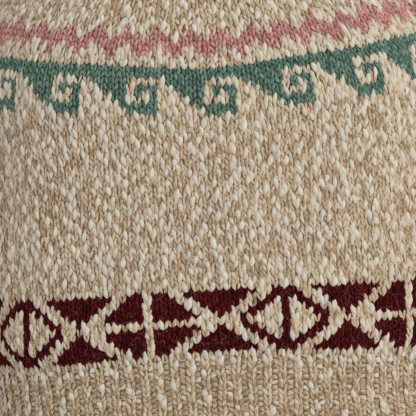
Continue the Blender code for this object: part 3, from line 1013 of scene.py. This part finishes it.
def split_by_size(name, cloth, strands, patch, yarn):
    """One or more meshes of the strands, each of at most TRIANGLES_PER_PIECE triangles."""
    pieces = math.ceil(len(strands["u"]) * len(patch[2]) * 2 / TRIANGLES_PER_PIECE)
    made = []
    for part, index in enumerate(np.array_split(np.arange(len(strands["u"])), pieces)):
        piece = strand_mesh(f"{name}_{part + 1}", cloth, picked(strands, index), patch, YARNS[yarn])
        made.append((piece, YARN_SLOTS[yarn]))
    return made


def knit_piece(node, cloth, edges, table, random, ribbed=False):
    """All the stitch meshes of one node, parted by yarn, nearness and size."""
    table["u"] = drifted(cloth, table)
    across, along = cloth.scale(table["u"], table["v"])
    wale = across * table["pitch"]
    course = along * np.abs(np.diff(edges))[table["row"]]
    near = close_up(cloth, table)
    purl = table["purl"] if ribbed else np.zeros(len(wale), bool)
    made = []
    for kind, of_kind in (("knit", ~purl), ("purl", purl)):
        for distance, of_distance, patch in (("near", near, FINE), ("far", ~near, COARSE)):
            chosen = of_kind & of_distance
            if not chosen.any():
                continue
            some = picked(table, chosen)
            size = wale[chosen], course[chosen]
            if kind == "knit":
                lift, form = (RIB_RISE, RIB_KNIT_FORM) if ribbed else (0.0, KNIT_FORM)
                strands = knit_strands(random, some, *size, lift, form)
            else:
                strands = purl_strands(random, some, *size, -TROUGH_DEPTH)
            for yarn in np.unique(strands["yarn"]):
                here = picked(strands, strands["yarn"] == yarn)
                name = f"{node}_{kind}_{YARN_NAMES[yarn]}_{distance}"
                made += split_by_size(name, cloth, here, patch, yarn)
    chance = np.where(table["yarn"] == MARL, HAIR_CHANCE, COLOUR_HAIR_CHANCE)
    chosen = random.random(len(wale)) < np.where(near, chance, chance * FAR_HAIR_SHARE)
    hairs = hair_strands(random, picked(table, chosen), wale[chosen], course[chosen])
    made.append((strand_mesh(node + "_hairs", cloth, hairs, HAIR, HAIR_YARN), YARN_SLOTS[MARL]))
    return made


def set_inputs(tree, node, inputs):
    """Each input is a value or another node's output."""
    for name, value in inputs.items():
        if isinstance(value, bpy.types.NodeSocket):
            tree.links.new(value, node.inputs[name])
        else:
            node.inputs[name].default_value = value


def add_node(tree, kind, inputs, output=0, **settings):
    node = tree.nodes.new("ShaderNode" + kind)
    for name, value in settings.items():
        setattr(node, name, value)
    set_inputs(tree, node, inputs)
    return node.outputs[output]


def new_material(name):
    material = bpy.data.materials.new(name)
    material.use_nodes = True
    tree = material.node_tree
    shader = tree.nodes["Principled BSDF"]
    set_inputs(tree, shader, {"Roughness": 0.92, "Specular IOR Level": 0.05, "Metallic": 0.0})
    return material, tree, shader


def attribute(tree, name):
    vector = add_node(tree, "Attribute", {}, "Vector", attribute_name=name)
    return add_node(tree, "SeparateXYZ", {0: vector}).node.outputs


def sums(tree, operation, *values):
    return add_node(tree, "Math", dict(enumerate(values)), operation=operation)


def joined(tree, *values):
    return add_node(tree, "CombineXYZ", dict(enumerate(values)))


def noise(tree, place, scale, detail, roughness=0.5):
    inputs = {"Vector": place, "Scale": scale, "Detail": detail, "Roughness": roughness}
    return add_node(tree, "TexNoise", inputs, "Fac")


def mapped(tree, value, low, high, to_low, to_high):
    inputs = {"Value": value, "From Min": low, "From Max": high, "To Min": to_low, "To Max": to_high}
    return add_node(tree, "MapRange", inputs, "Result", interpolation_type="SMOOTHSTEP")


def ramp(tree, share, stops):
    """A colour picked along stops, each a place and a colour."""
    colour = add_node(tree, "ValToRGB", {"Fac": share}, "Color")
    elements = colour.node.color_ramp.elements
    while len(elements) < len(stops):
        elements.new(0.5)
    for element, (place, value) in zip(elements, stops):
        element.position = place
        element.color = (*value, 1.0)
    return colour


def finish_yarn(tree, shader, colour, strength, relief, bump):
    """The colour times its strength, over a bump whose strength and distance are given."""
    scaled = add_node(tree, "VectorMath", {0: colour, "Scale": strength}, operation="SCALE")
    inputs = {"Strength": bump[0], "Distance": bump[1], "Height": relief}
    set_inputs(tree, shader, {"Base Color": scaled, "Normal": add_node(tree, "Bump", inputs)})


def yarn_material(name, stops, other_stops, streak_weight, tone_weight, fibre_weight, sheen):
    """Yarn of twisted plies between two casts of colour.

    tone_weight is how far a leg's own tone picks its colour, and fibre_weight how far its
    fibres are lighter or darker.
    """
    material, tree, shader = new_material(name)
    s, t, seed = attribute(tree, "mark")
    tone, shade, _ = attribute(tree, "dye")
    twist = sums(tree, "MULTIPLY_ADD", s, TWIST_ALONG, sums(tree, "MULTIPLY", t, TWIST_ACROSS))
    streak_seed, ply_seed, fibre_seed = (sums(tree, "MULTIPLY", seed, scale) for scale in SEED_SCALES)
    place = joined(tree, twist, sums(tree, "MULTIPLY", s, STREAK_DRAW), streak_seed)
    streak = mapped(tree, noise(tree, place, STREAK_SCALE, 2.0), *STREAK_RANGE, -0.5, 0.5)
    ply = sums(tree, "SINE", sums(tree, "MULTIPLY_ADD", twist, PLY_TURNS, ply_seed))
    grain = sums(tree, "MULTIPLY_ADD", ply, PLY_WEIGHT, streak)
    calm = sums(tree, "MULTIPLY_ADD", tone, -CREAM_CALM * tone_weight, 1.0)
    share = sums(tree, "MULTIPLY_ADD", tone, tone_weight, (1 - tone_weight) / 2)
    share = sums(tree, "MULTIPLY_ADD", sums(tree, "MULTIPLY", grain, calm), streak_weight, share)
    casts = {"Factor": seed, 6: ramp(tree, share, stops), 7: ramp(tree, share, other_stops)}
    colour = add_node(tree, "Mix", casts, 2, data_type="RGBA")
    fibre_place = joined(tree, sums(tree, "MULTIPLY", twist, FIBRE_TURNS), s, fibre_seed)
    fibre = noise(tree, fibre_place, FIBRE_SCALE, 3.0, 0.6)
    speckled = mapped(tree, fibre, *FIBRE_RANGE, 1.0 - fibre_weight, 1.0 + fibre_weight)
    relief = sums(tree, "MULTIPLY_ADD", ply, PLY_RELIEF, fibre)
    finish_yarn(tree, shader, colour, sums(tree, "MULTIPLY", shade, speckled), relief, YARN_BUMP)
    set_inputs(tree, shader, {"Sheen Weight": sheen, "Sheen Roughness": 0.6})
    return material


def ground_material():
    """The cloth behind the stitches: outside, painted shade darker than the yarn that darkens the gaps
    between stitches; pale on the inside.
    """
    material, tree, shader = new_material("yarn_ground_gap_shade")
    colour = add_node(tree, "Attribute", {}, "Vector", attribute_name="ground")
    place = add_node(tree, "TexCoord", {}, "Object")
    # noise mottles the painted gap shade with darker and lighter specks, and also gives the bump
    speck = noise(tree, place, SPECK_SCALE, 3.0, 0.6)
    strength = mapped(tree, speck, *SPECK_RANGE, *SPECK_STRENGTH)
    finish_yarn(tree, shader, colour, strength, speck, GROUND_BUMP)
    return material


# Yarn's look along and across a strand, in noise places and ramp shares
TWIST_ALONG = 1.3
TWIST_ACROSS = 0.95
STREAK_DRAW = 0.6
SEED_SCALES = (91.0, 60.0, 37.0)
STREAK_SCALE = 2.6
STREAK_RANGE = (0.36, 0.64)
PLY_TURNS = 6.0
PLY_WEIGHT = 0.34
PLY_RELIEF = 0.25
CREAM_CALM = 0.85
FIBRE_TURNS = 6.0
FIBRE_SCALE = 3.0
FIBRE_RANGE = (0.3, 0.7)
# Specks: noise that makes the ground's painted gap shade darker and lighter
SPECK_SCALE = 420.0
SPECK_RANGE = (0.35, 0.65)
SPECK_STRENGTH = (0.55, 1.35)
YARN_BUMP = (0.35, 0.0004)
GROUND_BUMP = (0.6, 0.0006)
MARL_STOPS = [
    (0.0, (0.330, 0.215, 0.115)),
    (0.30, (0.525, 0.392, 0.225)),
    (0.62, (0.600, 0.510, 0.368)),
    (1.0, (0.590, 0.550, 0.460)),
]
DUSKY_MARL_STOPS = [
    (0.0, (0.300, 0.200, 0.120)),
    (0.30, (0.495, 0.368, 0.240)),
    (0.62, (0.595, 0.505, 0.390)),
    (1.0, (0.600, 0.555, 0.470)),
]
GREEN_STOPS = [
    (0.0, (0.040, 0.088, 0.060)),
    (0.5, (0.100, 0.172, 0.128)),
    (1.0, (0.225, 0.325, 0.262)),
]
PINK_STOPS = [
    (0.0, (0.320, 0.128, 0.108)),
    (0.5, (0.480, 0.222, 0.196)),
    (1.0, (0.630, 0.385, 0.340)),
]
BURGUNDY_STOPS = [
    (0.0, (0.018, 0.0010, 0.0011)),
    (0.5, (0.058, 0.0040, 0.0042)),
    (1.0, (0.140, 0.015, 0.015)),
]
HAIR_STOPS = [(0.0, (0.22, 0.14, 0.12)), (1.0, (0.48, 0.40, 0.35))]
YARNS = [
    yarn_material(*row)
    for row in (
        # name, stops, other stops, streak weight, tone weight, fibre weight, sheen
        ("yarn_marl", MARL_STOPS, DUSKY_MARL_STOPS, 0.86, 1.0, 0.13, 0.08),
        ("yarn_green", GREEN_STOPS, GREEN_STOPS, 0.95, 0.50, 0.35, 0.05),
        ("yarn_pink", PINK_STOPS, PINK_STOPS, 0.95, 0.50, 0.30, 0.05),
        ("yarn_burgundy", BURGUNDY_STOPS, BURGUNDY_STOPS, 0.85, 0.40, 0.35, 0.01),
        ("yarn_hairs", HAIR_STOPS, HAIR_STOPS, 0.2, 1.0, 0.1, 0.0),
    )
]
HAIR_YARN = YARNS[-1]
GROUND = ground_material()
GAP_SHADE_AND_INSIDE_COLOURS = np.array([
    # one for each yarn, darker than that yarn: painted shade in the gaps between stitches; the last for
    # the inside, its own pale colour
    (0.270, 0.180, 0.102),
    (0.026, 0.052, 0.036),
    (0.230, 0.085, 0.078),
    (0.016, 0.002, 0.0025),
    (0.40, 0.32, 0.22),
])
INSIDE = len(GAP_SHADE_AND_INSIDE_COLOURS) - 1


def shell_places(rows, columns, rims):
    """Where the outside, the inside and the rims of a shell lie in the picture it is baked to."""
    flat = np.meshgrid(np.arange(columns + 1) / columns, np.arange(rows + 1) / rows)
    corners = grid_quads(together(*flat)).reshape(-1, 4, 2)
    places = [corners * UV_HALF + UV_OUTSIDE, corners[:, ::-1] * UV_HALF + UV_INSIDE]
    for number, rim in enumerate(rims):
        start = np.arange(len(rim)) / len(rim)
        end = start + 1 / len(rim)
        across = together(end, start, start, end)
        low = UV_RIMS + UV_RIM_STEP * number
        up = np.array([low, low, low + UV_RIM_HEIGHT, low + UV_RIM_HEIGHT])
        places.append(together(across, up))
    return np.concatenate(places).reshape(-1, 2)


def shell(name, cloth, edges, columns, yarn_at, ribbed=False, phase=0.0):
    """The thin cloth behind the stitches: painted outside with dark shade that fills the gaps between
    stitches, and rippled like purl inside.
    """
    v = np.sort(edges)
    u = np.arange(columns) / columns if cloth.closed else np.linspace(0.0, 1.0, columns + 1)
    us, vs = np.meshgrid(u, v)
    wave = np.zeros_like(us)
    if ribbed:
        wave = wave + np.where(np.arange(len(u)) % 2 == 0, RIB_RISE, TROUGH_GROUND)
        us = us + phase / columns
    ripple = np.where(np.arange(len(v)) % 2 == 0, INSIDE_RIPPLE, -INSIDE_RIPPLE)[:, None]
    outer = cloth.point(us, vs, wave - BASE_DEPTH)
    inner = cloth.point(us, vs, np.full_like(us, -WALL - INSIDE_RIPPLE) + ripple)
    points = np.concatenate([outer.reshape(-1, 3), inner.reshape(-1, 3)])
    index = np.arange(us.size).reshape(us.shape)
    if cloth.closed:
        index = np.concatenate([index, index[:, :1]], axis=1)
    borders = [index[0], index[-1][::-1]]
    if not cloth.closed:
        borders += [index[:, 0][::-1], index[:, -1]]
    cells = grid_quads(index)
    out_faces = cells.reshape(-1, 4)
    rims = [together(rim[1:], rim[:-1], rim[:-1] + us.size, rim[1:] + us.size) for rim in borders]
    faces = np.concatenate([out_faces, out_faces[:, ::-1] + us.size, *rims])
    piece = new_object(name, points, faces, GROUND)
    set_uv(piece, shell_places(*cells.shape[:2], rims))
    yarns = yarn_at(us.ravel() % 1.0 if cloth.closed else us.ravel(), vs.ravel())
    # the outside takes each yarn's dark painted gap shade, the inside its own pale colour
    set_vector(piece, "ground", GAP_SHADE_AND_INSIDE_COLOURS[np.concatenate([yarns, np.full(us.size, INSIDE)])])
    return piece


def plain_yarn(u, v):
    return np.zeros(len(u), dtype=int)


def nearest_yarn(row_pair, column_near, yarn_at):
    """Where a coloured stitch is near, the ground takes that yarn's painted gap shade."""
    near = []
    for rows in row_pair:
        for side in (-NEAR_STITCH, NEAR_STITCH):
            near.append([yarn_at(int(r), int(c)) for r, c in zip(rows, column_near(rows, side))])
    return np.max(near, axis=0)


def yoke_ground(u, v):
    def column_near(rows, side):
        counts = np.array([yoke_count(row) for row in rows])
        return np.round(u * counts + side).astype(int) % counts

    upper = np.clip(np.searchsorted(YOKE_EDGES, v + 1e-6) - 1, 0, YOKE_ROWS - 1)
    return nearest_yarn((upper, np.maximum(upper - 1, 0)), column_near, yoke_yarn)


def body_ground(column_of, u, v):
    def column_near(rows, side):
        return column_of(np.clip(np.floor(u * BODY_STITCHES + side), 0, BODY_STITCHES - 1))

    upper = BODY_ROWS - np.searchsorted(BODY_EDGES[::-1], v - 1e-6)
    row_pair = np.clip((upper, upper - 1), 0, BODY_ROWS - 1)
    return nearest_yarn(row_pair, column_near, body_yarn)


def front_column(column):
    return column - BODY_STITCHES // 2


def back_column(column):
    return BODY_STITCHES + BODY_STITCHES // 2 - column


def dress(node, cloth, edges, ground, table, random, ribbed=False, phase=0.0):
    """A node's cloth and stitches, tied to the part, which is then hidden. ground has columns and yarns.
    """
    base = shell(node + "_cloth", cloth, edges, *ground, ribbed, phase)
    stitches = knit_piece(node, cloth, edges, table, random, ribbed)
    for piece, slot in [(base, "marl_yarn"), *stitches]:
        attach(piece, "root")
    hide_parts(node)


def dress_band(node, cloth, edges, count, random, phase=0.0):
    table = band_stitches(random, edges, count, phase)
    dress(node, cloth, edges, (count, plain_yarn), table, random, True, phase)


def knit_all():
    """Every piece."""
    random = np.random.default_rng(27)
    yoke = Cloth(yoke_grid(64, 240), True, 1)
    table = yoke_stitches(random)
    dress("yoke", yoke, YOKE_EDGES, (240, yoke_ground), table, random)
    for panel, column_of in (("front", front_column), ("back", back_column)):
        cloth = Cloth(body_grid(panel, 48, 120), False, -1)
        ground = (2 * BODY_STITCHES, partial(body_ground, column_of))
        table = panel_stitches(random, column_of)
        dress("body_" + panel, cloth, BODY_EDGES, ground, table, random)
    for side, mirror in (("left", (1, 1, 1)), ("right", (-1, 1, 1))):
        sleeve = Cloth(sleeve_grid(72, 72) * mirror, True, -1)
        ground = (56, plain_yarn)
        table = sleeve_stitches(random)
        dress("sleeve_" + side, sleeve, SLEEVE_EDGES, ground, table, random)
        cuff = Cloth(cuff_grid(8, 72) * mirror, True, -1)
        dress_band("cuff_" + side, cuff, CUFF_EDGES, CUFF_STITCHES, random)
    hem = Cloth(hem_grid(12, 340), True, -1)
    dress_band("hem_rib", hem, HEM_EDGES, HEM_STITCHES, random, HEM_PHASE)
    neck = Cloth(neckband_grid(6, 184), True, 1)
    dress_band("neckband", neck, NECK_EDGES, NECK_STITCHES, random)


# Camera, at the photo's angle: level, square on, with a slight roll
VIEW_WIDTH = 0.341
LENS = 100.0
SENSOR = 36.0
VIEW_CENTRE = Vector((-0.0056, -0.131, -0.3138))
VIEW_ROLL = math.radians(3.2)
LIGHTS = [
    # name, place, power
    ("key", (1.8, -1.8, 0.9), 40.0),
    ("fill", (-1.6, -1.9, 0.1), 4.0),
]
LIGHT_TARGET = Vector((0.0, -0.1, -0.3))
LIGHT_SIZE = 1.6
WORLD_COLOUR = (0.97, 0.98, 1.0, 1.0)
WORLD_STRENGTH = 0.66
FLOOR_COLOUR = (0.82, 0.81, 0.79, 1.0)
FLOOR_HALF = 4
FLOOR_Z = -0.75


def set_camera():
    data = bpy.data.cameras.new("camera")
    data.lens = LENS
    data.sensor_width = SENSOR
    camera = linked("camera", data)
    distance = VIEW_WIDTH / SENSOR * LENS
    back = Vector((0.0, -1.0, 0.0))
    upward = Vector((math.sin(VIEW_ROLL), 0.0, math.cos(VIEW_ROLL)))
    sideways = upward.cross(back)
    turn = Matrix((sideways, upward, back)).transposed()
    camera.matrix_world = Matrix.Translation(VIEW_CENTRE + back * distance) @ turn.to_4x4()
    bpy.context.scene.camera = camera


def area_light(name, place, power):
    data = bpy.data.lights.new(name, "AREA")
    data.shape = "DISK"
    data.size = LIGHT_SIZE
    data.energy = power
    lamp = linked(name, data)
    lamp.location = place
    lamp.rotation_euler = (LIGHT_TARGET - Vector(place)).to_track_quat("-Z", "Y").to_euler()


def set_stage():
    scene = bpy.context.scene
    scene.view_settings.view_transform = "Standard"
    world = bpy.data.worlds.new("studio")
    world.use_nodes = True
    background = world.node_tree.nodes["Background"]
    set_inputs(world.node_tree, background, {"Color": WORLD_COLOUR, "Strength": WORLD_STRENGTH})
    scene.world = world
    for row in LIGHTS:
        area_light(*row)
    sides = ((-1, -1), (1, -1), (1, 1), (-1, 1))
    points = np.array([(x * FLOOR_HALF, y * FLOOR_HALF, FLOOR_Z) for x, y in sides])
    paint, tree, shader = new_material("floor")
    set_inputs(tree, shader, {"Base Color": FLOOR_COLOUR})
    new_object("floor", points, np.array([[0, 1, 2, 3]]), paint)


def plain(corners):
    return [list(corner) for corner in corners]


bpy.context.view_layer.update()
knit_all()
set_stage()
set_camera()
